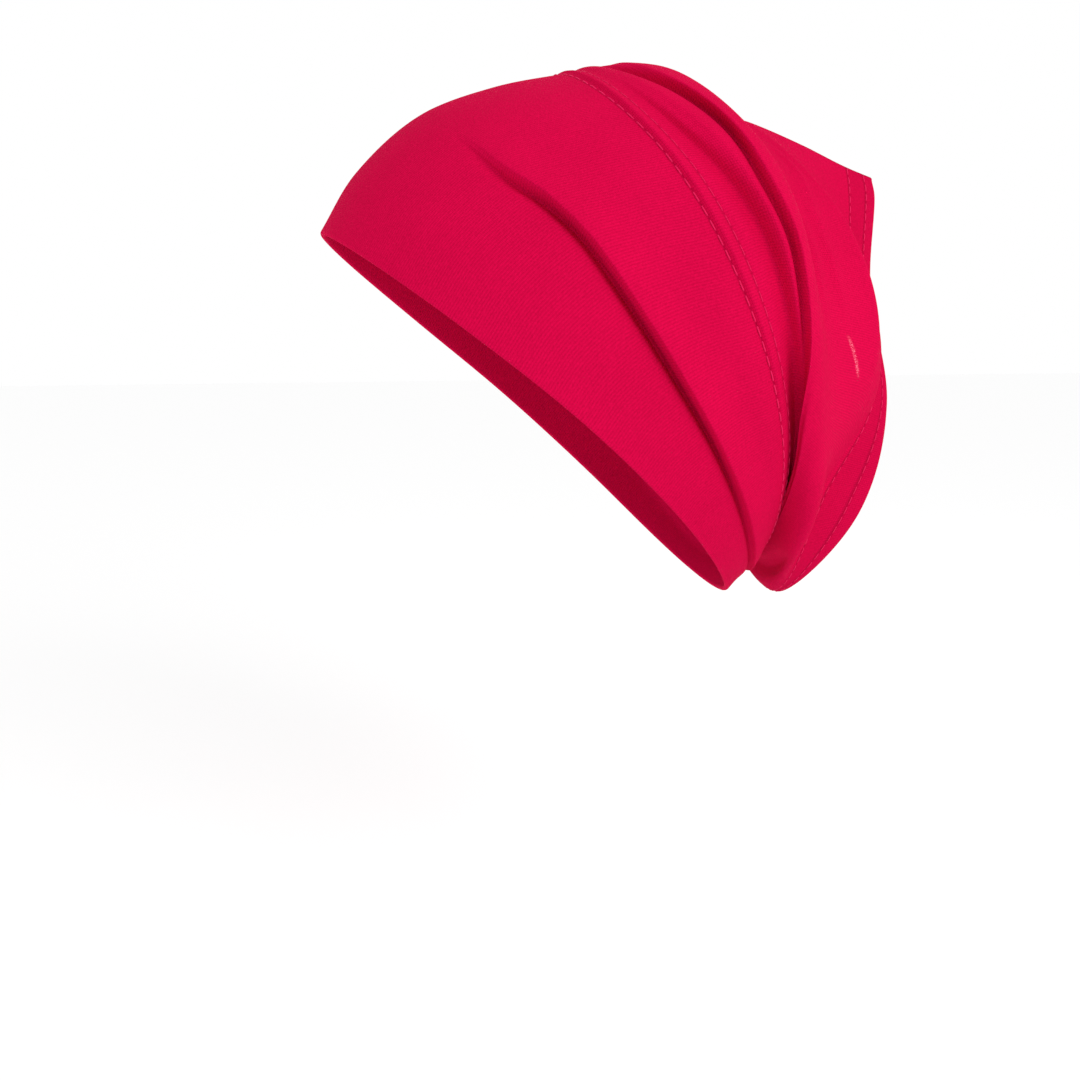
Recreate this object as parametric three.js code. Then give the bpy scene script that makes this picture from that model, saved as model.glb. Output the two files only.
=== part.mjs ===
// Underscarf cap of knitted jersey: one soft tube, open at both ends, in its worn form.
// Millimetres. +X is the wearer's left, -Y the face side, +Z up.
// The origin is the point inside the crown where the wearer's head bears.
import * as THREE from "three";

// Driving sizes.
const capLength = 206; // level reach from the crown's front edge to the rear corner
const capHeight = 194; // crown down to the nape
const headWidth = 152; // across the band over the ears
const hollowWidth = 100; // across the slack rear part, where it hangs free
const bandWall = 2; // front band, two layers of jersey
const bodyWall = 1.2; // slouching body, one layer
const hemWall = 2; // rear hem, two layers
const hemDepth = 10; // width of the turned rear hem
const seamGauge = 6; // distance between the two rows of the band's cover seam
const foldDepth = 10; // deepest fold of the slack cloth
const pieceGap = 0.3; // clearance between neighbouring pieces
const hemRounding = 0.35; // how far a folded edge bulges out, as a share of its wall
const sideColumns = 32; // facets down one side of the cap, crown to nape

// Where the sections lie along the tube, 0 at the face edge and 1 at the rear edge.
const tubeLength = 236; // face edge to rear edge, measured along the crown
const seamAt = 0.43; // first row of the band's cover seam
const pastSeam = 2; // millimetres of band behind the seam's second row
const bandEndAt = seamAt + (seamGauge + pastSeam) / tubeLength;
const hemStartAt = 1 - hemDepth / tubeLength;

// One row for each section of the tube. Crown and nape are the ends of the section's
// line down the side: [share of capLength, share of capHeight]. Upper, middle and lower
// are how far that line bows back from straight, as shares of capLength. Half is the
// half width as a share of the width named by over, low moves the widest place down,
// and pinch draws the section's crown end to a corner. Rows is the number of facet rows to the next.
const sections = [
  { at: 0.0, crown: [-0.436, -0.272], nape: [0.282, -0.957], upper: 0.018, middle: 0.03, lower: 0.024,
    half: 0.985, over: headWidth, low: 0, pinch: 0, rows: 4 },
  { at: 0.11, crown: [-0.375, -0.172], nape: [0.296, -0.94], upper: 0.02, middle: 0.028, lower: 0.02,
    half: 1.0, over: headWidth, low: 0, pinch: 0, rows: 4 },
  { at: 0.23, crown: [-0.265, -0.072], nape: [0.316, -0.924], upper: 0.03, middle: 0.03, lower: 0.018,
    half: 1.0, over: headWidth, low: 0, pinch: 0, rows: 4 },
  { at: 0.33, crown: [-0.15, -0.025], nape: [0.328, -0.91], upper: 0.03, middle: 0.034, lower: 0.028,
    half: 1.0, over: headWidth, low: 0, pinch: 0, rows: 3 },
  { at: seamAt, crown: [-0.044, 0.0], nape: [0.338, -0.897], upper: 0.034, middle: 0.042, lower: 0.034,
    half: 0.99, over: headWidth, low: 0, pinch: 0, rows: 2 },
  { at: 0.463, crown: [-0.016, 0.006], nape: [0.342, -0.89], upper: 0.044, middle: 0.054, lower: 0.044,
    half: 0.97, over: headWidth, low: -0.02, pinch: 0, rows: 2 },
  { at: 0.5, crown: [0.008, 0.016], nape: [0.348, -0.888], upper: 0.066, middle: 0.078, lower: 0.05,
    half: 0.94, over: headWidth, low: -0.04, pinch: 0, rows: 3 },
  { at: 0.555, crown: [0.115, 0.02], nape: [0.354, -0.9], upper: 0.07, middle: 0.062, lower: 0.034,
    half: 0.9, over: headWidth, low: 0, pinch: 0, rows: 5 },
  { at: 0.65, crown: [0.2, -0.034], nape: [0.366, -0.926], upper: 0.056, middle: 0.078, lower: 0.04,
    half: 1.15, over: hollowWidth, low: 0.26, pinch: 0.1, rows: 4 },
  { at: 0.745, crown: [0.292, -0.052], nape: [0.378, -0.952], upper: 0.112, middle: 0.136, lower: 0.034,
    half: 0.9, over: hollowWidth, low: 0.3, pinch: 0.25, rows: 3 },
  { at: 0.87, crown: [0.422, -0.097], nape: [0.391, -0.97], upper: 0.06, middle: 0.11, lower: 0.016,
    half: 0.68, over: hollowWidth, low: 0.3, pinch: 0.45, rows: 3 },
  { at: hemStartAt, crown: [0.519, -0.138], nape: [0.4, -0.976], upper: 0.0, middle: 0.066, lower: 0.012,
    half: 0.56, over: hollowWidth, low: 0.3, pinch: 0.5, rows: 3 },
  { at: 1.0, crown: [0.568, -0.155], nape: [0.41, -0.98], upper: 0.0, middle: 0.07, lower: 0.073,
    half: 0.5, over: hollowWidth, low: 0.3, pinch: 0.5, rows: 0 },
];

// One row for each fold. At is its place along the tube; rise is its height as a share
// of foldDepth, negative for a valley; front and back are its widths towards the face
// and the rear, as shares of the tube. It begins at start and is full at full, as
// shares of the way from crown to nape, and ends at end.
const folds = [
  { name: "band crease", at: 0.235, rise: -0.55, front: 0.035, back: 0.014,
    start: 0.16, full: 0.55, end: 1.1 },
  { name: "band ridge", at: 0.27, rise: 0.45, front: 0.018, back: 0.07,
    start: 0.18, full: 0.5, end: 1.1 },
  { name: "seam ridge", at: 0.478, rise: 0.3, front: 0.02, back: 0.02,
    start: 0.1, full: 0.4, end: 0.9 },
  { name: "first groove", at: 0.505, rise: -0.45, front: 0.02, back: 0.012,
    start: 0.2, full: 0.45, end: 0.95 },
  { name: "second groove", at: 0.556, rise: -0.6, front: 0.026, back: 0.018,
    start: -0.05, full: 0.2, end: 0.97 },
  { name: "rear roll", at: 0.615, rise: 0.45, front: 0.03, back: 0.06,
    start: -0.5, full: 0.1, end: 0.97 },
  { name: "rear valley", at: 0.75, rise: -0.3, front: 0.03, back: 0.02,
    start: 0, full: 0.25, end: 0.55 },
];
const farShare = 0.85; // depth of the folds on the wearer's right, against the left
const fadeShare = 0.15; // a fold runs out over this share of the way down
const crowding = 0.7; // how strongly gathered cloth widens a fold's share of the tube
const slackReach = [0.62, 0.7]; // the tube's places where the slack rear part takes over
const mostThickening = 1 / 0.6; // limit of the wall's measure along a sloping section

// Steps for finding directions on the surface: an angle round, and a share along.
const turn = 0.05;
const step = 0.012;

const smooth = (a, b, x) => THREE.MathUtils.smoothstep(x, a, b);

// A smooth curve through values at rising places, carried on straight past its ends.
function through(places, values, x) {
  const last = places.length - 1;
  const slope = (i) => (values[i + 1] - values[i]) / (places[i + 1] - places[i]);
  const tangent = (i) => {
    if (i === 0) return slope(0);
    if (i === last) return slope(last - 1);
    const before = places[i] - places[i - 1];
    const after = places[i + 1] - places[i];
    return (slope(i - 1) * after + slope(i) * before) / (before + after);
  };
  if (x <= places[0]) return values[0] + tangent(0) * (x - places[0]);
  if (x >= places[last]) return values[last] + tangent(last) * (x - places[last]);
  let i = 0;
  while (x > places[i + 1]) i += 1;
  const width = places[i + 1] - places[i];
  const t = (x - places[i]) / width;
  return (
    values[i] * (1 + 2 * t) * (1 - t) ** 2 +
    tangent(i) * width * t * (1 - t) ** 2 +
    values[i + 1] * t * t * (3 - 2 * t) +
    tangent(i + 1) * width * t * t * (t - 1)
  );
}

const places = sections.map((s) => s.at);
const columns = {
  crownY: sections.map((s) => s.crown[0] * capLength),
  crownZ: sections.map((s) => s.crown[1] * capHeight),
  napeY: sections.map((s) => s.nape[0] * capLength),
  napeZ: sections.map((s) => s.nape[1] * capHeight),
  upper: sections.map((s) => s.upper * capLength),
  middle: sections.map((s) => s.middle * capLength),
  lower: sections.map((s) => s.lower * capLength),
  half: sections.map((s) => (s.half * s.over) / 2),
  low: sections.map((s) => s.low),
  pinch: sections.map((s) => s.pinch),
};

function sectionAt(along) {
  const row = {};
  for (const [name, values] of Object.entries(columns)) row[name] = through(places, values, along);
  return row;
}

// The bow of a section's line: a curve through its three bows, and none at its ends.
function bowAt(row, share) {
  return through([0, 0.25, 0.5, 0.75, 1], [0, row.upper, row.middle, row.lower, 0], share);
}

// Round is the angle about the tube, 0 at the crown and pi at the nape, then back up
// the far side. Down is the share of the way from crown to nape.
const sideOf = (round) => (Math.sin(round) < 0 ? -1 : 1);
const downOf = (round) => Math.acos(Math.cos(round)) / Math.PI;

// The point on a section's line at a share of the way down, at the middle of the cap.
function linePoint(row, share) {
  const dy = row.napeY - row.crownY;
  const dz = row.napeZ - row.crownZ;
  const chord = Math.hypot(dy, dz);
  const bow = bowAt(row, share);
  return new THREE.Vector3(
    0,
    row.crownY + share * dy - (bow * dz) / chord,
    row.crownZ + share * dz + (bow * dy) / chord,
  );
}

function shareOf(row, round) {
  const down = downOf(round);
  const flat = row.pinch * (1 - smooth(0, 1, down));
  return ((1 - Math.cos(Math.PI * down)) / 2) * (1 - flat) + down * flat;
}

// The cap's surface before its folds.
function plainPoint(round, along) {
  const row = sectionAt(along);
  const down = downOf(round);
  const widest = down - row.low * down * (1 - down);
  const point = linePoint(row, shareOf(row, round));
  point.x = sideOf(round) * row.half * Math.sin(Math.PI * widest);
  return point;
}

// The outward direction of a surface. In the front part it is kept within the section,
// so that crowded folds stay apart; in the slack rear part it is square to the cloth.
function outwardOf(surface, round, along) {
  const row = sectionAt(along);
  const share = shareOf(row, round);
  const downLine = linePoint(row, share + turn).sub(linePoint(row, share - turn));
  const rearward = new THREE.Vector3(1, 0, 0).cross(downLine);
  const across = surface(round + turn, along).sub(surface(round - turn, along));
  const back = surface(round, along + step).sub(surface(round, along - step));
  const within = across.clone().cross(rearward).normalize();
  const square = across.cross(back).normalize();
  return within.lerp(square, smooth(...slackReach, along)).normalize();
}

// How far the cloth is spread at a place: 1 at the crown, less where it is gathered.
function spreadAt(round, along) {
  const reach = 4 * step;
  const span = plainPoint(round, along + reach).distanceTo(plainPoint(round, along - reach));
  return Math.min(1, span / (2 * reach * tubeLength));
}

// How far the folds lift the cloth at a place. They run out where it is gathered.
function foldLift(round, along) {
  const down = downOf(round);
  let lift = 0;
  for (const fold of folds) {
    const spread = spreadAt(round, fold.at);
    const width = (along < fold.at ? fold.front : fold.back) / spread ** crowding;
    const shape = Math.exp(-(((along - fold.at) / width) ** 2));
    const begun = smooth(fold.start, fold.full, down);
    const ended = 1 - smooth(fold.end - fadeShare, fold.end, down);
    const height = fold.rise * foldDepth * Math.min(1, 1.6 * spread);
    lift += height * shape * begun * ended;
  }
  return lift * (1 - (1 - farShare) * smooth(0, 0.5, -Math.sin(round)));
}

function outerPoint(round, along) {
  const lift = foldLift(round, along);
  return plainPoint(round, along).addScaledVector(outwardOf(plainPoint, round, along), lift);
}

// How squarely a section crosses the cloth: 1 square, less where the cloth slopes.
function squareness(outward, round, along) {
  const across = outerPoint(round + turn, along).sub(outerPoint(round - turn, along));
  const back = outerPoint(round, along + step).sub(outerPoint(round, along - step));
  return Math.abs(across.cross(back).normalize().dot(outward));
}

// A point inside the cloth: depth 0 on the outer face, 1 on the inner face.
function clothPoint(round, along, wall, depth) {
  const outward = outwardOf(outerPoint, round, along);
  const thick = wall * Math.min(1 / squareness(outward, round, along), mostThickening);
  return outerPoint(round, along).addScaledVector(outward, -thick * depth);
}

// The place along the tube that lies a given distance behind another.
function shifted(round, along, distance) {
  const near = step / 6;
  const stretch = outerPoint(round, along + near).distanceTo(outerPoint(round, along - near));
  return along + (distance * 2 * near) / Math.max(stretch, 0.1);
}

// Facet rows: each section's place and the even steps to the next one.
const rowPlaces = sections.flatMap((s, i) =>
  Array.from({ length: Math.max(s.rows, 1) }, (_, k) =>
    s.rows ? s.at + ((sections[i + 1].at - s.at) * k) / s.rows : s.at,
  ),
);

// A closed shell of cloth from one place along the tube to another.
function clothTube(name, from, to, wall, material) {
  const around = 2 * sideColumns;
  const inner = rowPlaces.filter((p) => p > from.at + step / 3 && p < to.at - step / 3);
  const loops = [];
  const ring = (place, depth, clear) => {
    const loop = [];
    for (let k = 0; k < around; k += 1) {
      const round = (Math.PI * k) / sideColumns;
      const along = clear ? shifted(round, place, clear) : place;
      loop.push(clothPoint(round, along, wall, depth));
    }
    loops.push(loop);
  };
  // Outer face to the rear, its end, inner face to the front, and its end.
  ring(from.at, 0, from.clear);
  inner.forEach((p) => ring(p, 0, 0));
  ring(to.at, 0, to.clear);
  if (to.fold) ring(to.at, 0.5, to.clear + wall * hemRounding);
  ring(to.at, 1, to.clear);
  inner.slice().reverse().forEach((p) => ring(p, 1, 0));
  ring(from.at, 1, from.clear);
  if (from.fold) ring(from.at, 0.5, from.clear - wall * hemRounding);

  const positions = loops.flatMap((loop) => loop.flatMap((p) => p.toArray()));
  const index = [];
  for (let i = 0; i < loops.length; i += 1) {
    const next = (i + 1) % loops.length;
    for (let k = 0; k < around; k += 1) {
      const beside = (k + 1) % around;
      const a = i * around + k;
      const b = i * around + beside;
      const c = next * around + beside;
      const d = next * around + k;
      index.push(a, b, c, a, c, d);
    }
  }
  const geometry = new THREE.BufferGeometry();
  geometry.setAttribute("position", new THREE.Float32BufferAttribute(positions, 3));
  geometry.setIndex(index);
  geometry.computeVertexNormals();
  const mesh = new THREE.Mesh(geometry, material);
  mesh.name = name;
  return mesh;
}

const jersey = (roughness) =>
  new THREE.MeshStandardMaterial({ color: 0xd80f4a, roughness, metalness: 0 });

const cap = new THREE.Group();
cap.add(
  clothTube(
    "front_band",
    { at: 0, clear: 0, fold: true },
    { at: bandEndAt, clear: -pieceGap / 2 },
    bandWall,
    jersey(0.85),
  ),
  clothTube(
    "slouch_body",
    { at: bandEndAt, clear: pieceGap / 2 },
    { at: hemStartAt, clear: -pieceGap / 2 },
    bodyWall,
    jersey(0.85),
  ),
  clothTube(
    "back_hem",
    { at: hemStartAt, clear: pieceGap / 2 },
    { at: 1, clear: 0, fold: true },
    hemWall,
    jersey(0.88),
  ),
);

export default cap;
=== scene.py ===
import math

import bpy
import numpy as np
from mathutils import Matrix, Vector


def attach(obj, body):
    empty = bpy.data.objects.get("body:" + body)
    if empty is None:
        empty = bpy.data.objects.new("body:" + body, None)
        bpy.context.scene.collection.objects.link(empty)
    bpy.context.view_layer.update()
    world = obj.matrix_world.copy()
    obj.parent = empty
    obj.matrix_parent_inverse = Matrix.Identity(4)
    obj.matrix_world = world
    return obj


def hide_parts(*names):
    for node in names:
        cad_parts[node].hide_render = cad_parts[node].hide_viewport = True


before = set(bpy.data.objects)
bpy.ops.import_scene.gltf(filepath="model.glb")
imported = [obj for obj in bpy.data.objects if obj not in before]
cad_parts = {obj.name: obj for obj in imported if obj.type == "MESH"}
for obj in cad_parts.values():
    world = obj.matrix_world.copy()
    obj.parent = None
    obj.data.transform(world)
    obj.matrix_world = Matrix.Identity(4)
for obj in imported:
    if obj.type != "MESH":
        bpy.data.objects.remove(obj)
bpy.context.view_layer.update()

MM = 0.001

# Sizes shared with the part.
CAP_LENGTH = 206.0
CAP_HEIGHT = 194.0
HEAD_WIDTH = 152.0
HOLLOW_WIDTH = 100.0
TUBE_LENGTH = 236.0
SEAM_AT = 0.43
SEAM_GAUGE = 6.0
HEM_DEPTH = 10.0

# Sizes of the cloth itself.
CLOTH = 0.7  # thickness of one layer of jersey
TURN_GAP = 0.6  # space between two layers of a turned edge
FULL = 2 * CLOTH + TURN_GAP  # two layers and the space between them
GIRTH = 430.0  # way round the unstretched tube
FACING_WIDENING = 1.5  # the facing's valleys are this much wider than the outside's

# Places along the tube, as shares of it: 0 at the face edge, 1 at the rear edge.
FACING_AT = 0.452  # raw edge of the front band's turned-in facing
BACK_ROW_AT = SEAM_AT + SEAM_GAUGE / TUBE_LENGTH  # second needle row of the band's seam
BAND_ROWS_AT = (SEAM_AT, BACK_ROW_AT)
HEM_AT = 1 - HEM_DEPTH / TUBE_LENGTH  # front of the rear hem
HEM_TURN_AT = HEM_AT - 0.008  # raw edge of the turned-in rear hem
HEM_ROWS_AT = (HEM_TURN_AT + 0.004, HEM_AT + 0.028)  # the hem's two needle rows

# One row for each section: its place, crown and nape ends, three bows, half width, the
# width that it is a share of, how low the widest place is, and how far the crown end is
# drawn to a corner. Y and bows are shares of the cap's length, and Z of its height.
SECTIONS = [
    # at, crown y, crown z, nape y, nape z, upper, middle, lower, half, over, low, pinch
    (0.0, -0.436, -0.272, 0.282, -0.957, 0.018, 0.03, 0.024, 0.985, HEAD_WIDTH, 0.0, 0.0),
    (0.11, -0.375, -0.172, 0.296, -0.94, 0.02, 0.028, 0.02, 1.0, HEAD_WIDTH, 0.0, 0.0),
    (0.23, -0.265, -0.072, 0.316, -0.924, 0.03, 0.03, 0.018, 1.0, HEAD_WIDTH, 0.0, 0.0),
    (0.33, -0.15, -0.025, 0.328, -0.91, 0.03, 0.034, 0.028, 1.0, HEAD_WIDTH, 0.0, 0.0),
    (SEAM_AT, -0.044, 0.0, 0.338, -0.897, 0.034, 0.042, 0.034, 0.99, HEAD_WIDTH, 0.0, 0.0),
    (0.463, -0.016, 0.006, 0.342, -0.89, 0.044, 0.054, 0.044, 0.97, HEAD_WIDTH, -0.02, 0.0),
    (0.5, 0.008, 0.016, 0.348, -0.888, 0.066, 0.078, 0.05, 0.94, HEAD_WIDTH, -0.04, 0.0),
    (0.555, 0.115, 0.02, 0.354, -0.9, 0.07, 0.062, 0.034, 0.9, HEAD_WIDTH, 0.0, 0.0),
    (0.65, 0.2, -0.034, 0.366, -0.926, 0.056, 0.078, 0.04, 1.15, HOLLOW_WIDTH, 0.26, 0.1),
    (0.745, 0.292, -0.052, 0.378, -0.952, 0.112, 0.136, 0.034, 0.9, HOLLOW_WIDTH, 0.3, 0.25),
    (0.87, 0.422, -0.097, 0.391, -0.97, 0.06, 0.11, 0.016, 0.68, HOLLOW_WIDTH, 0.3, 0.45),
    (HEM_AT, 0.519, -0.138, 0.4, -0.976, 0.0, 0.066, 0.012, 0.56, HOLLOW_WIDTH, 0.3, 0.5),
    (1.0, 0.568, -0.155, 0.41, -0.98, 0.0, 0.07, 0.073, 0.5, HOLLOW_WIDTH, 0.3, 0.5),
]

# Folds. Each has its widths to the front and to the rear as shares of the tube, and
# stations down the side: the share of the way from crown to nape, the place along the
# tube, and the rise and the lean to the front in millimetres.
FOLDS = [
    ("band crease", 0.0085, 0.0025, [
        (0.17, 0.214, 0.0, 0.0), (0.21, 0.2125, -0.7, 0.0), (0.247, 0.2115, -1.7, 0.0),
        (0.278, 0.2155, -2.5, 0.0), (0.303, 0.223, -3.0, 0.0), (0.328, 0.228, -3.4, 0.0),
        (0.36, 0.232, -3.6, 0.0), (0.42, 0.23, -3.9, 0.0), (0.53, 0.228, -4.4, 0.0),
        (0.64, 0.234, -4.8, 0.0), (0.75, 0.232, -5.0, 0.0), (0.84, 0.226, -4.8, 0.0),
        (0.92, 0.223, -4.0, 0.0), (1.0, 0.223, -2.5, 0.0)]),
    ("band ridge", 0.004, 0.035, [
        (0.17, 0.225, 0.0, 0.0), (0.21, 0.2235, 0.7, 0.0), (0.247, 0.222, 1.6, 0.0),
        (0.278, 0.2255, 2.4, 0.2), (0.303, 0.2325, 3.0, 0.4), (0.328, 0.237, 3.4, 0.6),
        (0.36, 0.2405, 3.7, 0.5), (0.43, 0.2385, 4.0, 0.5), (0.53, 0.237, 4.0, 0.5),
        (0.63, 0.24, 4.0, 0.4), (0.71, 0.236, 4.0, 0.3), (0.79, 0.23, 4.0, 0.3),
        (0.86, 0.228, 4.0, 0.2), (0.885, 0.228, 3.8, 0.0), (0.92, 0.228, 0.0, 0.0),
        (1.0, 0.228, 0.0, 0.0)]),
    ("seam ridge", 0.005, 0.012, [
        (0.0, 0.445, 0.6, 0.0), (0.1, 0.445, 1.2, 0.0), (0.2, 0.445, 1.8, 0.0),
        (0.4, 0.445, 1.8, 0.0), (0.6, 0.445, 1.2, 0.0), (0.75, 0.445, 0.0, 0.0)]),
    ("groove ridge", 0.012, 0.016, [
        (0.1, 0.47, 0.0, 0.0), (0.3, 0.472, 1.0, 0.0), (0.45, 0.474, 1.2, 0.0),
        (0.53, 0.472, 1.0, 0.0), (0.6, 0.47, 0.7, 0.0), (0.7, 0.466, 0.3, 0.0),
        (0.8, 0.46, 0.0, 0.0)]),
    ("nape gather", 0.055, 0.03, [
        (0.44, 0.48, 0.0, 0.0), (0.52, 0.48, -0.6, 0.0), (0.6, 0.475, -2.4, 0.0),
        (0.7, 0.465, -4.4, 0.0), (0.8, 0.455, -5.6, 0.0), (0.9, 0.445, -5.4, 0.0),
        (1.0, 0.44, -3.0, 0.0)]),
    ("lip hollow", 0.01, 0.008, [
        (0.6, 0.501, 0.0, 0.0), (0.66, 0.499, -0.8, 0.0), (0.74, 0.497, -2.0, 0.0),
        (0.82, 0.494, -3.0, 0.0), (0.9, 0.49, -3.4, 0.0), (1.0, 0.485, -2.5, 0.0)]),
    ("nape pleat", 0.03, 0.02, [
        (0.84, 0.66, 0.0, 0.0), (0.9, 0.68, -6.0, 0.0), (0.95, 0.69, -8.0, 0.0),
        (1.0, 0.69, -8.0, 0.0)]),
    ("first groove", 0.024, 0.008, [
        (0.15, 0.478, 0.0, 0.0), (0.22, 0.482, -1.7, 0.0), (0.28, 0.488, -3.1, 0.0),
        (0.35, 0.5, -3.8, 0.0), (0.43, 0.508, -3.7, 0.0), (0.5, 0.502, -3.0, 0.0),
        (0.56, 0.498, -2.7, 0.0), (0.62, 0.494, -2.8, 0.0), (0.7, 0.49, -3.0, 0.0),
        (0.8, 0.486, -3.0, 0.0), (0.9, 0.48, -2.4, 0.0), (1.0, 0.48, -2.0, 0.0)]),
    ("middle ridge", 0.01, 0.018, [
        (0.12, 0.505, 0.0, 0.0), (0.2, 0.51, 1.2, 0.0), (0.28, 0.516, 2.0, 0.0),
        (0.35, 0.52, 2.2, 0.0), (0.43, 0.526, 2.2, 0.0), (0.52, 0.516, 1.4, 0.0),
        (0.58, 0.51, 0.5, 0.0), (0.64, 0.508, 0.0, 0.0)]),
    ("second groove", 0.007, 0.004, [
        (0.02, 0.51, 0.0, 0.0), (0.08, 0.515, -1.8, 0.0), (0.15, 0.522, -3.2, 0.0),
        (0.2, 0.531, -3.6, 0.0), (0.27, 0.538, -3.4, 0.0), (0.36, 0.533, -3.0, 0.0),
        (0.435, 0.54, -2.8, 0.0), (0.52, 0.528, -1.2, 0.0), (0.6, 0.515, 0.0, 0.0)]),
    ("rear roll", 0.006, 0.075, [
        (0.0, 0.53, 0.4, 0.0), (0.08, 0.53, 1.2, 0.4), (0.15, 0.535, 2.2, 1.2),
        (0.2, 0.5425, 2.8, 1.8), (0.27, 0.547, 3.4, 1.8), (0.36, 0.5395, 4.0, 0.6),
        (0.435, 0.547, 4.2, 0.2), (0.52, 0.537, 4.5, 1.2), (0.56, 0.532, 4.7, 3.2),
        (0.6, 0.53, 5.2, 6.2), (0.64, 0.53, 5.6, 8.8), (0.7, 0.53, 5.6, 9.4),
        (0.75, 0.53, 5.4, 9.3), (0.8, 0.53, 4.8, 9.0), (0.855, 0.53, 4.1, 8.1),
        (0.9, 0.53, 3.2, 6.5), (1.0, 0.53, 2.0, 5.0)]),
    ("rear flat", 0.03, 0.012, [
        (0.0, 0.748, -0.4, 0.0), (0.1, 0.75, -0.8, 0.0), (0.25, 0.75, -0.9, 0.0),
        (0.4, 0.74, -0.6, 0.0), (0.55, 0.735, 0.0, 0.0)]),
    ("rear crest", 0.025, 0.016, [
        (0.0, 0.77, 0.0, 0.0), (0.1, 0.77, 0.8, 0.0), (0.2, 0.766, 2.0, 0.0),
        (0.33, 0.76, 2.6, 0.0), (0.45, 0.755, 1.6, 0.0), (0.55, 0.755, 0.0, 0.0)]),
    ("long streak", 0.005, 0.007, [
        (0.12, 0.742, 0.0, 0.0), (0.2, 0.742, 0.8, 0.0), (0.3, 0.71, 1.2, 0.0),
        (0.39, 0.698, 1.0, 0.0), (0.48, 0.69, 0.0, 0.0)]),
    ("short streak", 0.004, 0.006, [
        (0.3, 0.684, 0.0, 0.0), (0.36, 0.68, 0.8, 0.0), (0.42, 0.663, 0.9, 0.0),
        (0.5, 0.645, 0.0, 0.0)]),
]
SEAM_DRIFT = 0.007  # how far back the band's seam is pulled on the sides, along the tube
DRIFT_GROWS = (0.1, 0.3)  # where down the side that begins
DRIFT_FADES = (0.6, 0.9)  # and where it ends
CORNER_CUT = 0.005  # how much of the tube's length the rear top corner loses
CORNER_SPREAD = 0.045  # how far down the side the cut corner reaches
CORNER_FROM = 0.93  # where along the tube it starts
FAR_SHARE = 0.85  # how deep the far side's folds are against the near side's
CROWDING = 0.7  # how strongly gathered cloth widens a fold's share of the tube
SHALLOWING = 1.6  # folds keep their depth down to one part in this of the full spread
SLACK_REACH = (0.62, 0.7)  # from here back, folds rise square to the cloth
VALLEY_RISE = 0.01  # a fold that rises more than this anywhere is no valley
DOWN_STEPS = 241  # places down the side in the fold tables

# Half the steps that directions are measured over: round the tube, and along it.
TURN, STEP = 0.05, 0.012
FINE_TURN, FINE_STEP = 0.008, 0.0012
SPREAD_STEP = 4 * STEP


def smooth(a, b, x):
    """A smooth step from 0 to 1 while x goes from a to b."""
    t = np.clip((x - a) / (b - a), 0, 1)
    return t * t * (3 - 2 * t)


def curve_parts(places, values):
    """The cubic parts of a smooth curve through rows of values at rising places, as
    [start place, four coefficients], carried on straight past its ends."""
    places = np.asarray(places, float)
    values = np.asarray(values, float)
    widths = np.diff(places)
    slopes = np.diff(values) / widths
    tangents = np.empty_like(values)
    tangents[..., 0], tangents[..., -1] = slopes[..., 0], slopes[..., -1]
    before, after = widths[:-1], widths[1:]
    tangents[..., 1:-1] = (slopes[..., :-1] * after + slopes[..., 1:] * before) / (before + after)
    first, last = values[..., :-1], values[..., 1:]
    m0, m1 = tangents[..., :-1], tangents[..., 1:]
    square = (3 * (last - first) / widths - 2 * m0 - m1) / widths
    cube = (2 * (first - last) / widths + m0 + m1) / widths**2
    ends = np.zeros_like(values[..., :1])
    parts = [
        np.concatenate([values[..., :1], first, values[..., -1:]], -1),
        np.concatenate([tangents[..., :1], m0, tangents[..., -1:]], -1),
        np.concatenate([ends, square, ends], -1),
        np.concatenate([ends, cube, ends], -1),
    ]
    return places, np.concatenate([places[:1], places]), parts


def curve_at(curve, x):
    """The values of a smooth curve at places along it."""
    places, starts, (a, b, c, d) = curve
    part = np.searchsorted(places, x)
    t = x - starts[part]
    return ((d[..., part] * t + c[..., part]) * t + b[..., part]) * t + a[..., part]


def bow_at(upper, middle, lower, share):
    """The curve through bows at the quarters of a line, and none at its ends."""
    h = 0.25  # a quarter of the line
    slopes = [upper / h, (middle - upper) / h, (lower - middle) / h, -lower / h]
    tangents = [slopes[0]] + [(slopes[i] + slopes[i + 1]) / 2 for i in range(3)] + [slopes[3]]
    values = [0 * upper, upper, middle, lower, 0 * upper]
    result = np.where(share > 1, tangents[4] * (share - 1), tangents[0] * share)
    for i in range(4):
        t = (share - i * h) / h
        inside = (t >= 0) & (t <= 1)
        part = (
            values[i] * (1 + 2 * t) * (1 - t) ** 2
            + tangents[i] * h * t * (1 - t) ** 2
            + values[i + 1] * t * t * (3 - 2 * t)
            + tangents[i + 1] * h * t * t * (t - 1)
        )
        result = np.where(inside, part, result)
    return result


def section_curve():
    """The sections, in millimetres, as a smooth curve along the tube."""
    columns = [np.array(column) for column in zip(*SECTIONS)]
    at, crown_y, crown_z, nape_y, nape_z, upper, middle, lower, half, over, low, pinch = columns
    return curve_parts(at, [
        crown_y * CAP_LENGTH, crown_z * CAP_HEIGHT, nape_y * CAP_LENGTH, nape_z * CAP_HEIGHT,
        upper * CAP_LENGTH, middle * CAP_LENGTH, lower * CAP_LENGTH, half * over / 2, low, pinch,
    ])


SECTION_CURVE = section_curve()


def section_at(along):
    """Crown y and z, nape y and z, three bows, half width, low and pinch at a place along."""
    return curve_at(SECTION_CURVE, along)


def down_of(around):
    """The share of the way down the side, 0 at the crown and 1 at the nape."""
    return np.arccos(np.clip(np.cos(around), -1, 1)) / math.pi


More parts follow.
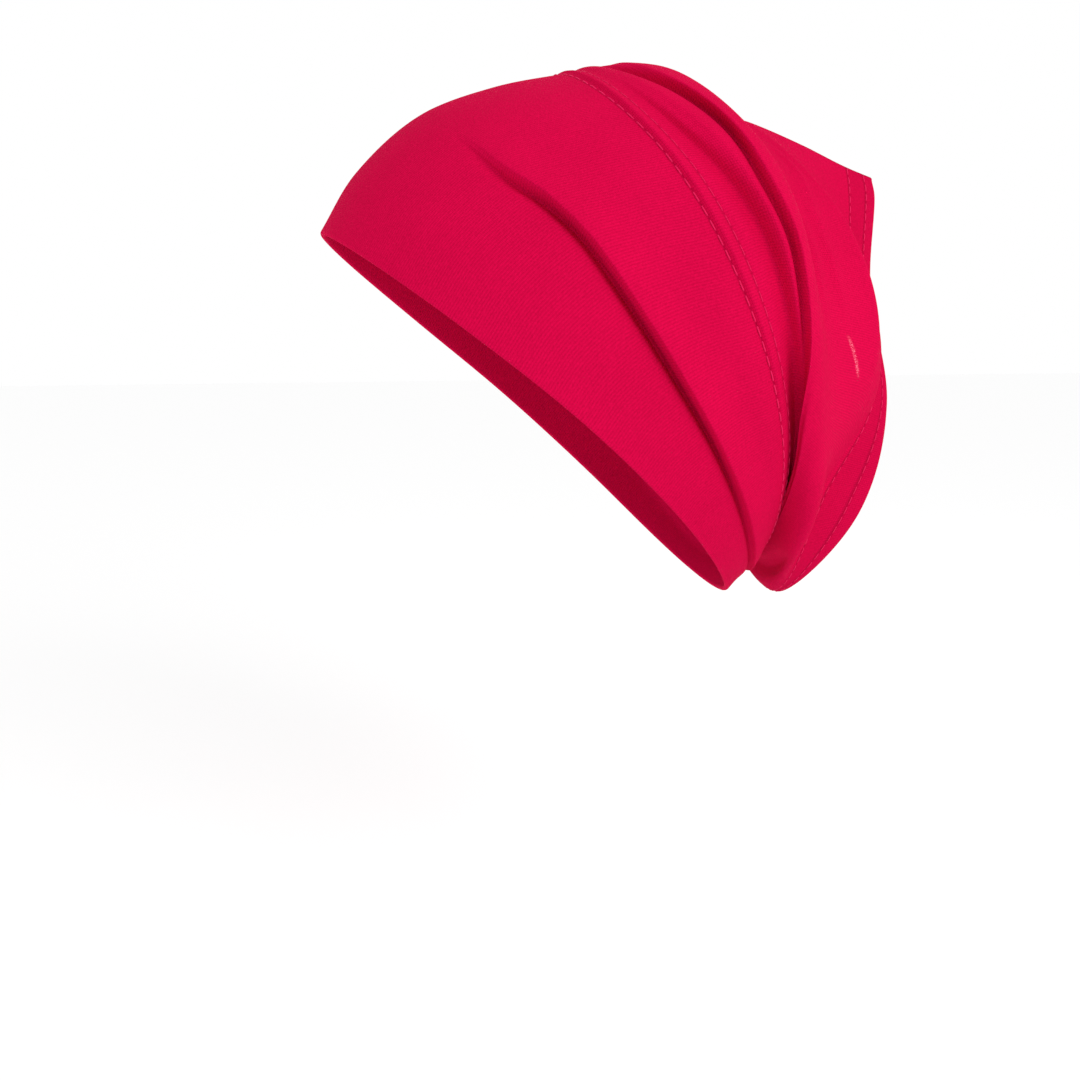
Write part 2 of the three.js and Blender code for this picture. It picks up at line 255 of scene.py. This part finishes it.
def share_of(row, around):
    """How far down its section's line a point lies: a round crown end, or a sharp one where
    the section is pinched."""
    *_, pinch = row
    down = down_of(around)
    flat = pinch * (1 - smooth(0, 1, down))
    return ((1 - np.cos(math.pi * down)) / 2) * (1 - flat) + down * flat


def line_point(row, share):
    """Y and Z of the point on a section's line at a share of the way down."""
    crown_y, crown_z, nape_y, nape_z, upper, middle, lower, *_ = row
    dy, dz = nape_y - crown_y, nape_z - crown_z
    chord = np.hypot(dy, dz)
    bow = bow_at(upper, middle, lower, share)
    return crown_y + share * dy - bow * dz / chord, crown_z + share * dz + bow * dy / chord


def plain_point(around, along):
    """The cap's outer face without its folds."""
    row = section_at(along)
    *_, half, low, _ = row
    down = down_of(around)
    lowered = down - low * down * (1 - down)
    y, z = line_point(row, share_of(row, around))
    side = np.where(np.sin(around) < 0, -1.0, 1.0)
    return np.stack([side * half * np.sin(math.pi * lowered), y, z], -1)


def unit(v):
    """Directions of length 1."""
    return v / np.maximum(np.linalg.norm(v, axis=-1, keepdims=True), 1e-9)


def outward_of(surface, around, along):
    """The direction in which folds rise: within the section in front, square to the cloth
    in the slack rear part."""
    row = section_at(along)
    share = share_of(row, around)
    y1, z1 = line_point(row, share + TURN)
    y0, z0 = line_point(row, share - TURN)
    rearward = np.stack([0 * y1, -(z1 - z0), y1 - y0], -1)
    across = surface(around + TURN, along) - surface(around - TURN, along)
    back = surface(around, along + STEP) - surface(around, along - STEP)
    within = unit(np.cross(across, rearward))
    square = unit(np.cross(across, back))
    t = smooth(*SLACK_REACH, along)[..., None]
    return unit(within * (1 - t) + square * t)


def spread_at(around, along):
    """How much of its length the cloth is spread over, below 1 where it is gathered."""
    span = plain_point(around, along + SPREAD_STEP) - plain_point(around, along - SPREAD_STEP)
    return np.minimum(1, np.linalg.norm(span, axis=-1) / (2 * SPREAD_STEP * TUBE_LENGTH))


DOWNS = np.linspace(0, 1, DOWN_STEPS)


def fold_tables():
    """Each fold's front and rear widths, then its place, rise and lean at every down."""
    tables = []
    for _, front, back, stations in FOLDS:
        downs, *columns = zip(*stations)
        curves = curve_parts(downs, columns)
        place, rise, lean = curve_at(curves, np.clip(DOWNS, downs[0], downs[-1]))
        spread = spread_at(DOWNS * math.pi, place)
        rise = rise * np.minimum(1, SHALLOWING * spread)
        lean = np.maximum(lean, 0)
        tables.append((front / spread**CROWDING, back / spread**CROWDING, place, rise, lean))
    return tables


FOLD_TABLES = fold_tables()


def fold_moves(around, along, valleys_only=False):
    """How far the folds lift the cloth, and how far they lean it to the front."""
    down = down_of(around)
    lift, lean = 0 * down, 0 * down
    widening = FACING_WIDENING if valleys_only else 1
    for front, back, place, rise, forward in FOLD_TABLES:
        if valleys_only and rise.max() > VALLEY_RISE:
            continue
        at = np.interp(down, DOWNS, place)
        width = np.where(along < at, np.interp(down, DOWNS, front), np.interp(down, DOWNS, back))
        width = width * widening
        shape = np.exp(-(((along - at) / width) ** 2))
        lift += np.interp(down, DOWNS, rise) * shape
        lean += np.interp(down, DOWNS, forward) * shape
    far = 1 - (1 - FAR_SHARE) * smooth(0, 0.5, -np.sin(around))
    return lift * far, lean * far


def outer_point(around, along):
    """The cap's outer face, folds and all."""
    corner = np.exp(-((down_of(around) / CORNER_SPREAD) ** 2)) * smooth(CORNER_FROM, 1.0, along)
    along = along - CORNER_CUT * corner
    lift, lean = fold_moves(around, along)
    ahead = unit(plain_point(around, along - STEP) - plain_point(around, along + STEP))
    outward = outward_of(plain_point, around, along)
    return plain_point(around, along) + outward * lift[..., None] + ahead * lean[..., None]


def facing_point(around, along):
    """The face of the turned-in facing, which follows the valleys alone."""
    lift, _ = fold_moves(around, along, valleys_only=True)
    outward = outward_of(plain_point, around, along)
    return plain_point(around, along) + outward * (lift - FULL)[..., None]


def frame_at(around, along):
    """Points of the outer face, with the directions out of the cloth and to the rear."""
    across = outer_point(around + FINE_TURN, along) - outer_point(around - FINE_TURN, along)
    back = outer_point(around, along + FINE_STEP) - outer_point(around, along - FINE_STEP)
    return outer_point(around, along), unit(np.cross(across, back)), unit(back)


def cloth_point(around, along, depth):
    """A point at a depth in millimetres below the outer face, square to the cloth."""
    point, outward, _ = frame_at(around, along)
    return point - outward * np.asarray(depth)[..., None]


def seam_drift(down):
    """How far behind its place the band's seam lies on the sides, as a share of the tube."""
    return SEAM_DRIFT * smooth(*DRIFT_GROWS, down) * (1 - smooth(*DRIFT_FADES, down))


def place_at(place, around):
    """The place along the tube of a row of stitches at each angle round it."""
    return place + (seam_drift(down_of(around)) if place in BAND_ROWS_AT else 0 * around)


def row_places(start, end, bands):
    """Row places from start to end, by the step of the first band that holds each."""
    rows = [start]
    while rows[-1] < end:
        step = next(step for low, high, step in bands if low <= rows[-1] < high)
        rows.append(rows[-1] + step)
    rows = np.array(rows)
    return start + (rows - start) * (end - start) / (rows[-1] - start)


def mesh_object(name, points, faces, material, uvs=None):
    """A smooth mesh in metres from points in millimetres."""
    mesh = bpy.data.meshes.new(name)
    mesh.from_pydata([tuple(p) for p in np.asarray(points) * MM], [], faces)
    mesh.polygons.foreach_set("use_smooth", [True] * len(mesh.polygons))
    if uvs is not None:
        layer = mesh.uv_layers.new(name="cloth")
        layer.data.foreach_set("uv", np.asarray(uvs, float).ravel())
    mesh.update()
    obj = bpy.data.objects.new(name, mesh)
    bpy.context.scene.collection.objects.link(obj)
    mesh.materials.append(material)
    return obj


# Materials. Lengths are in millimetres, and noises are scaled by the metre.

CRIMSON = (0.665, 0.0023, 0.06)
DARK_CRIMSON = (0.48, 0.0015, 0.04)
THREAD_CRIMSON = (0.82, 0.014, 0.11)
WALE = 0.7  # width of a column of knit loops
COURSE = 0.55  # height of a row of loops
WOBBLE = 0.9  # how unevenly the columns run, as an angle of their wave
LOOP_LEAN = 2.4  # how far the loops are drawn down along their columns, as an angle
TONE_RANGE = (0.58, 1.2)  # the knit pattern's values at the dark and at the full colour
THIN_FROM = (104.0, 163.0)  # where the thinned knit starts, round the tube and along it
THIN_RUN = (11.0, 6.0)  # how far it runs
THIN_REACH = 1.1  # how far it spreads beside its line
# Painted light: the pale colour of the specks where light shows through the overstretched knit.
SHOW_THROUGH_LIGHT_COLOR = (0.95, 0.2, 0.3)
DENT_REACH = 0.75  # how far the dent along a needle row spreads
DENT_LEAD = 0.25  # how far in front of the threads the dent lies
DENT_PAINTED_SHADE = 0.4  # painted shade: how much darker the cloth is painted in the dent
HEM_PAINTED_SHADE = 0.14  # painted shade: how much darker it is painted over the hem's double cloth
HEM_BLUR = 0.4  # half the width over which that painted shade begins


class Nodes:
    """Short names for building a node tree."""

    def __init__(self, name):
        self.material = bpy.data.materials.new(name)
        self.material.use_nodes = True
        self.tree = self.material.node_tree
        self.shader = self.tree.nodes["Principled BSDF"]

    def add(self, kind, **settings):
        node = self.tree.nodes.new(kind)
        for key, value in settings.items():
            setattr(node, key, value)
        return node

    def put(self, node, socket, value):
        """Link an input to a socket, or set it to a number or colour."""
        if isinstance(value, bpy.types.NodeSocket):
            self.tree.links.new(value, node.inputs[socket])
        else:
            node.inputs[socket].default_value = value

    def finish(self, values):
        """Put values on the shader's own sockets, and give the material back."""
        for socket, value in values.items():
            self.put(self.shader, socket, value)
        return self.material

    def maths(self, operation, a, b=0.0, c=0.0):
        node = self.add("ShaderNodeMath", operation=operation)
        for i, value in enumerate((a, b, c)):
            self.put(node, i, value)
        return node.outputs[0]

    def weighted(self, *pairs):
        """The sum of some values, each times its weight."""
        total = 0.0
        for value, weight in pairs:
            total = self.maths("MULTIPLY_ADD", value, weight, total)
        return total

    def ramp(self, low, high, value, kind="LINEAR"):
        """How far a value is on its way from low to high, from 0 to 1."""
        node = self.add("ShaderNodeMapRange", interpolation_type=kind)
        self.put(node, "Value", value)
        self.put(node, "From Min", low)
        self.put(node, "From Max", high)
        return node.outputs[0]

    def step(self, low, high, value):
        return self.ramp(low, high, value, "SMOOTHSTEP")

    def noise(self, vector, scale, detail, roughness):
        node = self.add("ShaderNodeTexNoise")
        self.put(node, "Vector", vector)
        self.put(node, "Scale", scale)
        self.put(node, "Detail", detail)
        self.put(node, "Roughness", roughness)
        return node.outputs["Fac"]

    def mix(self, factor, first, second):
        """A mix of two colours, each a socket or three numbers."""
        node = self.add("ShaderNodeMix", data_type="RGBA")
        self.put(node, "Factor", factor)
        for socket, color in ((6, first), (7, second)):
            self.put(node, socket, color if isinstance(color, bpy.types.NodeSocket) else (*color, 1))
        return node.outputs[2]

    def bump(self, height, strength, distance):
        node = self.add("ShaderNodeBump")
        self.put(node, "Height", height)
        self.put(node, "Strength", strength)
        self.put(node, "Distance", distance)
        self.put(self.shader, "Normal", node.outputs[0])


def knit_loops(n, split, obj):
    """Columns of knit loops along the tube, a little uneven."""
    wobble = n.maths("MULTIPLY", n.noise(obj, scale=90.0, detail=2.0, roughness=0.5), WOBBLE)
    u = n.maths("MULTIPLY_ADD", split.outputs[0], 2 * math.pi / WALE, wobble)
    v = n.maths("MULTIPLY", split.outputs[1], 2 * math.pi / COURSE)
    columns = n.maths("ABSOLUTE", n.maths("SINE", n.maths("MULTIPLY", u, 0.5)))
    loops = n.maths("SINE", n.maths("MULTIPLY_ADD", columns, LOOP_LEAN, v))
    return n.weighted((columns, 0.7), (loops, 0.25))


def thin_spot(n, split, obj):
    """A short run of overstretched knit on the left side, with pale specks of painted light where light
    comes through.
    """
    run = n.maths("DIVIDE", n.maths("SUBTRACT", split.outputs[0], THIN_FROM[0]), THIN_RUN[0])
    line = n.maths("MULTIPLY_ADD", run, THIN_RUN[1], THIN_FROM[1])
    away = n.maths("ABSOLUTE", n.maths("SUBTRACT", split.outputs[1], line))
    beside = n.maths("SUBTRACT", 1.0, n.maths("DIVIDE", away, THIN_REACH))
    ends = n.maths("MULTIPLY", n.maths("MULTIPLY", run, n.maths("SUBTRACT", 1.0, run)), 4.0)
    inside = n.maths("MULTIPLY", n.maths("MAXIMUM", beside, 0.0), n.maths("MAXIMUM", ends, 0.0))
    share = n.maths("MINIMUM", n.maths("MULTIPLY", inside, 2.0), 1.0)
    holes = n.maths("GREATER_THAN", n.noise(obj, scale=3400.0, detail=1.0, roughness=0.5), 0.56)
    return n.maths("MULTIPLY", share, holes)


def stitch_dent(n, split):
    """How near a point is to one of the rows of needle stitches, from 0 to 1."""
    aside = n.maths("SUBTRACT", n.maths("DIVIDE", split.outputs[0], GIRTH / 2), 1.0)
    down = n.maths("SUBTRACT", 1.0, n.maths("ABSOLUTE", aside))
    drift = n.maths("MULTIPLY", n.step(*DRIFT_GROWS, down), n.step(*reversed(DRIFT_FADES), down))
    drift = n.maths("MULTIPLY", drift, SEAM_DRIFT * TUBE_LENGTH)
    dent = 0.0
    for place in (*BAND_ROWS_AT, *HEM_ROWS_AT):
        row = n.maths("ADD", drift if place in BAND_ROWS_AT else 0.0, place * TUBE_LENGTH - DENT_LEAD)
        away = n.maths("ABSOLUTE", n.maths("SUBTRACT", split.outputs[1], row))
        near = n.maths("MAXIMUM", n.maths("SUBTRACT", 1.0, n.maths("DIVIDE", away, DENT_REACH)), 0.0)
        dent = n.maths("ADD", dent, near)
    return dent


def doubled_hem(n, split):
    """1 where the rear hem's cloth is double, and 0 elsewhere: the mask of the painted shade there."""
    edge = HEM_TURN_AT * TUBE_LENGTH
    return n.step(edge - HEM_BLUR, edge + HEM_BLUR, split.outputs[1])


def jersey_material(name, color, dark):
    """Fine single jersey: columns of knit loops along the tube, softly fuzzy, drawn in at the
    stitches, painted darker there and over the rear hem as shade, and painted lighter
    as light showing through where it is overstretched."""
    n = Nodes(name)
    split = n.add("ShaderNodeSeparateXYZ")
    n.put(split, 0, n.add("ShaderNodeUVMap", uv_map="cloth").outputs[0])
    obj = n.add("ShaderNodeTexCoord").outputs["Object"]
    knit = knit_loops(n, split, obj)
    fuzz = n.noise(obj, scale=2600.0, detail=3.0, roughness=0.65)
    grain = n.noise(obj, scale=1500.0, detail=1.0, roughness=0.5)
    patches = n.noise(obj, scale=26.0, detail=4.0, roughness=0.6)
    dent = stitch_dent(n, split)
    n.bump(n.weighted((knit, 1.0), (fuzz, 0.5), (dent, -2.5)), strength=0.5, distance=0.00022)
    tone = n.weighted((patches, 0.36), (knit, 0.42), (fuzz, 0.3), (grain, 0.75))
    plain = n.mix(n.ramp(*TONE_RANGE, tone), dark, color)
    # Painted shade: darker in the dents along the needle rows and over the rear hem's double cloth.
    shade = n.weighted((dent, DENT_PAINTED_SHADE), (doubled_hem(n, split), HEM_PAINTED_SHADE))
    with_painted_shade = n.mix(shade, plain, (dark[0] / 2, dark[1], dark[2] / 2))
    return n.finish({
        # Painted light: pale specks where light shows through the thin spot.
        "Base Color": n.mix(thin_spot(n, split, obj), with_painted_shade, SHOW_THROUGH_LIGHT_COLOR),
        "Roughness": 0.82,
        "Specular IOR Level": 0.01,
        "Sheen Weight": 0.01,
        "Sheen Roughness": 0.5,
        "Sheen Tint": (1.0, 0.06, 0.25, 1),
    })


def thread_material(name, color):
    """Spun sewing thread: a fine twist in its bump and tone."""
    n = Nodes(name)
    obj = n.add("ShaderNodeTexCoord").outputs["Object"]
    twist = n.noise(obj, scale=3200.0, detail=2.0, roughness=0.6)
    n.bump(twist, strength=0.5, distance=0.0001)
    return n.finish({
        "Base Color": n.mix(twist, [0.7 * part for part in color], color),
        "Roughness": 0.6,
        "Specular IOR Level": 0.06,
    })


def plain_material(name, color, roughness, glow):
    """A matt surface of one colour, with a little light of its own."""
    return Nodes(name).finish({
        "Base Color": (*color, 1),
        "Roughness": roughness,
        "Specular IOR Level": 0.0,
        "Emission Color": (1, 1, 1, 1),
        "Emission Strength": glow,
    })


jersey = jersey_material("crimson_jersey", CRIMSON, DARK_CRIMSON)
thread = thread_material("crimson_thread", THREAD_CRIMSON)


# The jersey: one cut of cloth, from the facing's raw edge inside the band, round the
# fold at the face, back over the outside, round the hem's fold and in to its raw edge.

# Steps between rows: from a place along the tube, to a place, and the step between them.
OUTSIDE_BANDS = [(0.205, 0.25, 0.0014), (0.41, 0.485, 0.003), (0.485, 0.56, 0.0015),
                 (0.56, 0.7, 0.0042), (0.73, 0.79, 0.0035), (0.0, 1.1, 0.0085)]
INSIDE_BANDS = [(0.19, 0.26, 0.007), (0.0, 1.1, 0.016)]
AROUND = 220  # points round the tube
EDGE_ROWS = 6  # rows round a folded edge
EASED_ROWS = 6  # rows of the facing next to the face edge, where it eases into its own form
EASED_REACH = 0.03  # the share of the tube over which it eases


def ring_normals(points):
    """Directions square to a grid of rows and columns that closes round its columns."""
    across = np.roll(points, -1, 1) - np.roll(points, 1, 1)
    back = np.gradient(points, axis=0)
    return unit(np.cross(across, back))


def edge_rows(angles, place, side, radius, depth):
    """Rows of half a circle round a folded edge, from the outer face to the inner."""
    point, outward, back = frame_at(angles, place + 0 * angles)
    rows = []
    for k in range(1, EDGE_ROWS):
        a = math.pi * k / EDGE_ROWS
        inward = outward * (depth + radius * (1 - math.cos(a)))
        rows.append(point - inward + back * side * radius * math.sin(a))
    return rows


def facing_rows(angles, places):
    """Rows of the facing, which starts square below the outer face at the face edge."""
    facing = facing_point(*np.meshgrid(angles, places))
    eased = np.meshgrid(angles, places[:EASED_ROWS])
    _, outward, _ = frame_at(*eased)
    square = outer_point(*eased) - outward * FULL
    share = smooth(0.0, EASED_REACH, places[:EASED_ROWS])[:, None, None]
    facing[:EASED_ROWS] = square * (1 - share) + facing[:EASED_ROWS] * share
    return facing


def cloth_mesh():
    """Points, faces and cloth coordinates in millimetres of the whole cut."""
    angles = np.arange(AROUND) * 2 * math.pi / AROUND
    out_places = row_places(0, 1.0, OUTSIDE_BANDS)
    face_places = row_places(0, FACING_AT, INSIDE_BANDS)
    hem_places = row_places(HEM_TURN_AT, 1.0, INSIDE_BANDS)

    outside = outer_point(*np.meshgrid(angles, out_places))
    under = outside - ring_normals(outside) * CLOTH
    facing = facing_rows(angles, face_places)
    facing_back = facing + ring_normals(facing) * CLOTH
    hem_out = outer_point(*np.meshgrid(angles, hem_places))
    hem_normals = ring_normals(hem_out)
    hem = hem_out - hem_normals * FULL
    hem_back = hem_out - hem_normals * (FULL - CLOTH)

    outer_radius, inner_radius = FULL / 2, FULL / 2 - CLOTH
    blocks = [
        (facing[::-1], face_places[::-1]),
        (edge_rows(angles, 0.0, -1, outer_radius, 0)[::-1], None),
        (outside, out_places),
        (edge_rows(angles, 1.0, 1, outer_radius, 0), None),
        (hem[::-1], hem_places[::-1]),
        (hem_back, hem_places),
        (edge_rows(angles, 1.0, 1, inner_radius, CLOTH)[::-1], None),
        (under[::-2], out_places[::-2]),
        (edge_rows(angles, 0.0, -1, inner_radius, CLOTH), None),
        (facing_back, face_places),
    ]
    loops, lengths = [], []
    for rows, places in blocks:
        loops += list(rows)
        near = lengths[-1] if lengths else 0.0
        lengths += list(places) if places is not None else [near] * len(rows)
    faces, uvs = [], []
    count, width = len(loops), GIRTH / AROUND
    for i in range(count):
        j = (i + 1) % count
        for k in range(AROUND):
            m = (k + 1) % AROUND
            faces.append((i * AROUND + k, i * AROUND + m, j * AROUND + m, j * AROUND + k))
            u, v0, v1 = k * width, lengths[i] * TUBE_LENGTH, lengths[j] * TUBE_LENGTH
            uvs += [(u, v0), (u + width, v0), (u + width, v1), (u, v1)]
    return np.concatenate(loops), faces, uvs


points, faces, uvs = cloth_mesh()
cloth = mesh_object("cap_jersey", points, faces, jersey, uvs)
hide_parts("front_band", "slouch_body", "back_hem")
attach(cloth, "root")


# Stitches. Lengths are in millimetres.

SEAM_PITCH = 5.0  # from stitch to stitch in the band's seam
HEM_PITCH = 4.2  # and in the rear hem
THREAD_SIDES = 6
TAPER = 4.2  # how soon a run of thread reaches its full size
TAPER_START = 0.25  # the size of its ends against its middle
STITCH_POINTS = 7  # points along one stitch
STITCH_RING = 2881  # points round the tube that a row of stitches is measured with
LOOPER_POINTS = 5  # points along one crossing of the looper thread
LOOPER_RING = 1441  # points round the tube that a looper row is measured with
LOOPER_PAST = 0.04  # how far a crossing runs past its ends
LOOPER_RADIUS = 0.18
LOOPER_GAP = 0.15  # space between the inner face of the cloth and the looper thread's middle


def thread_run(path, radius):
    """Points and faces of a closed tube of thread that narrows at its ends."""
    path = np.asarray(path, float)
    ahead = unit(np.gradient(path, axis=0))
    aside = np.array([0.31, 0.52, 0.79])  # any direction that no thread follows
    first = unit(np.cross(ahead, aside))
    second = np.cross(ahead, first)
    steps = np.linspace(0, 1, len(path))
    sizes = radius * np.clip(TAPER * np.minimum(steps, 1 - steps) + TAPER_START, 0, 1)
    sides = []
    for k in range(THREAD_SIDES):
        a = 2 * math.pi * k / THREAD_SIDES
        sides.append(path + (first * math.cos(a) + second * math.sin(a)) * sizes[:, None])
    points = np.stack(sides, 1).reshape(-1, 3)
    faces = []
    for i in range(len(path) - 1):
        here, there = i * THREAD_SIDES, (i + 1) * THREAD_SIDES
        for k in range(THREAD_SIDES):
            m = (k + 1) % THREAD_SIDES
            faces.append((here + k, there + k, there + m, here + m))
    last = (len(path) - 1) * THREAD_SIDES
    faces.append(tuple(range(THREAD_SIDES)))
    faces.append(tuple(last + k for k in reversed(range(THREAD_SIDES))))
    return points, faces


def thread_piece(name, paths, radius):
    """One piece made of many short runs of thread."""
    points, faces, count = [], [], 0
    for path in paths:
        run, sides = thread_run(path, radius)
        points.append(run)
        faces += [tuple(v + count for v in face) for face in sides]
        count += len(run)
    piece = mesh_object(name, np.concatenate(points), faces, thread)
    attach(piece, "root")


def reach_of(line):
    """The way along a line to each of its points."""
    return np.concatenate([[0], np.cumsum(np.linalg.norm(np.diff(line, axis=0), axis=1))])


def stitch_row(name, place, pitch, length, radius, depth, sink):
    """A row of needle stitches round the tube at one place along it."""
    ring = np.linspace(0, 2 * math.pi, STITCH_RING)
    reach = reach_of(outer_point(ring, place_at(place, ring)))
    total = max(int(reach[-1] / pitch), 1)
    middles = (np.arange(total) + 0.5) * reach[-1] / total
    steps = np.linspace(-1, 1, STITCH_POINTS)
    at = np.interp(middles[:, None] + steps * length / 2, reach, ring)
    sunk = sink * np.abs(steps) ** 3 + 0 * at
    thread_piece(name, cloth_point(at, place_at(place, at), depth + sunk), radius)


def looper_row(name, front, rear, pitch):
    """The looper thread on the inside of a cover seam, to and fro between its rows."""
    ring = np.linspace(0, 2 * math.pi, LOOPER_RING)
    reach = reach_of(front(ring))
    total = max(int(reach[-1] / pitch), 1)
    turns = np.interp(np.arange(2 * total + 1) * reach[-1] / (2 * total), reach, ring)
    ends = [(front if i % 2 else rear)(turns[i:i + 1])[0] for i in range(2 * total + 1)]
    steps = np.linspace(-LOOPER_PAST, 1 + LOOPER_PAST, LOOPER_POINTS)[:, None]
    paths = [start + (end - start) * steps for start, end in zip(ends[:-1], ends[1:])]
    thread_piece(name, paths, LOOPER_RADIUS)


def inside_at(place, depth):
    """A ring below the outer face of the cloth, just inside the cap, at a row of stitches."""
    return lambda around: cloth_point(around, place_at(place, around), depth + 0 * around)


stitch_row("band_seam_front_row", SEAM_AT, SEAM_PITCH, length=4.8, radius=0.27, depth=-0.08, sink=0.55)
stitch_row("band_seam_back_row", BACK_ROW_AT, SEAM_PITCH, length=4.9, radius=0.16, depth=-0.02, sink=0.3)
for row_name, row_place in zip(("hem_front_row", "hem_back_row"), HEM_ROWS_AT):
    stitch_row(row_name, row_place, HEM_PITCH, length=4.0, radius=0.22, depth=-0.05, sink=0.45)
looper_row("band_seam_looper", lambda a: facing_point(a, place_at(SEAM_AT, a)),
           inside_at(BACK_ROW_AT, CLOTH + LOOPER_GAP), SEAM_PITCH)
looper_row("hem_looper", *[inside_at(row_place, FULL + LOOPER_GAP) for row_place in HEM_ROWS_AT],
           HEM_PITCH)


# Floor, in millimetres, and light and camera, in metres.

FLOOR_HEIGHT = -341.0
FLOOR_REACH = 4000.0
HORIZON_GLOW, ZENITH_GLOW = 1.0, 0.94
HORIZON_UP_TO = 0.2  # how high the horizon's light reaches, as the height of its direction
KEY_PLACE, KEY_TARGET = (0.6, 0.42, 0.26), (0, 0.03, -0.08)
KEY_SIZE, KEY_POWER = 0.4, 2.5
CAMERA_PLACE = (0.3837, -0.0941, -0.0815)
PAN, TILT = math.radians(12), math.radians(12)
LENS, SENSOR_WIDTH = 35, 36


def white_floor():
    """A wide level floor below the cap."""
    corners = [(x * FLOOR_REACH, y * FLOOR_REACH, FLOOR_HEIGHT)
               for x, y in ((-1, -1), (1, -1), (1, 1), (-1, 1))]
    white = plain_material("floor_white", (0.9, 0.9, 0.9), roughness=0.9, glow=0.11)
    mesh_object("floor", corners, [(0, 1, 2, 3)], white)


def studio_world():
    """Soft light from all round, brighter near the horizon than overhead."""
    world = bpy.data.worlds.new("studio")
    world.use_nodes = True
    tree = world.node_tree
    split = tree.nodes.new("ShaderNodeSeparateXYZ")
    place = tree.nodes.new("ShaderNodeTexCoord")
    ramp = tree.nodes.new("ShaderNodeMapRange")
    ramp.interpolation_type = "SMOOTHSTEP"
    ramp.inputs["From Min"].default_value = HORIZON_UP_TO
    ramp.inputs["From Max"].default_value = 1.0
    ramp.inputs["To Min"].default_value = HORIZON_GLOW
    ramp.inputs["To Max"].default_value = ZENITH_GLOW
    tree.links.new(place.outputs["Generated"], split.inputs[0])
    tree.links.new(split.outputs[2], ramp.inputs["Value"])
    tree.links.new(ramp.outputs[0], tree.nodes["Background"].inputs["Strength"])
    tree.nodes["Background"].inputs["Color"].default_value = (1.0, 1.0, 1.0, 1)
    bpy.context.scene.world = world


def key_light():
    """One soft disk of light from the left, behind and above."""
    data = bpy.data.lights.new("key", "AREA")
    data.shape = "DISK"
    data.size = KEY_SIZE
    data.energy = KEY_POWER
    lamp = bpy.data.objects.new("key", data)
    lamp.location = KEY_PLACE
    ahead = Vector(KEY_TARGET) - Vector(KEY_PLACE)
    lamp.rotation_euler = ahead.to_track_quat("-Z", "Y").to_euler()
    bpy.context.scene.collection.objects.link(lamp)


def studio_camera():
    """A camera on the wearer's left, turned a little to the rear and down."""
    data = bpy.data.cameras.new("camera")
    data.lens = LENS
    data.sensor_width = SENSOR_WIDTH
    data.clip_start = 0.01
    camera = bpy.data.objects.new("camera", data)
    level = math.cos(TILT)
    look = Vector((-math.cos(PAN) * level, math.sin(PAN) * level, -math.sin(TILT)))
    camera.location = CAMERA_PLACE
    camera.rotation_euler = look.to_track_quat("-Z", "Y").to_euler()
    bpy.context.scene.collection.objects.link(camera)
    bpy.context.scene.camera = camera


white_floor()
studio_world()
key_light()
studio_camera()
bpy.context.scene.view_settings.view_transform = "Standard"
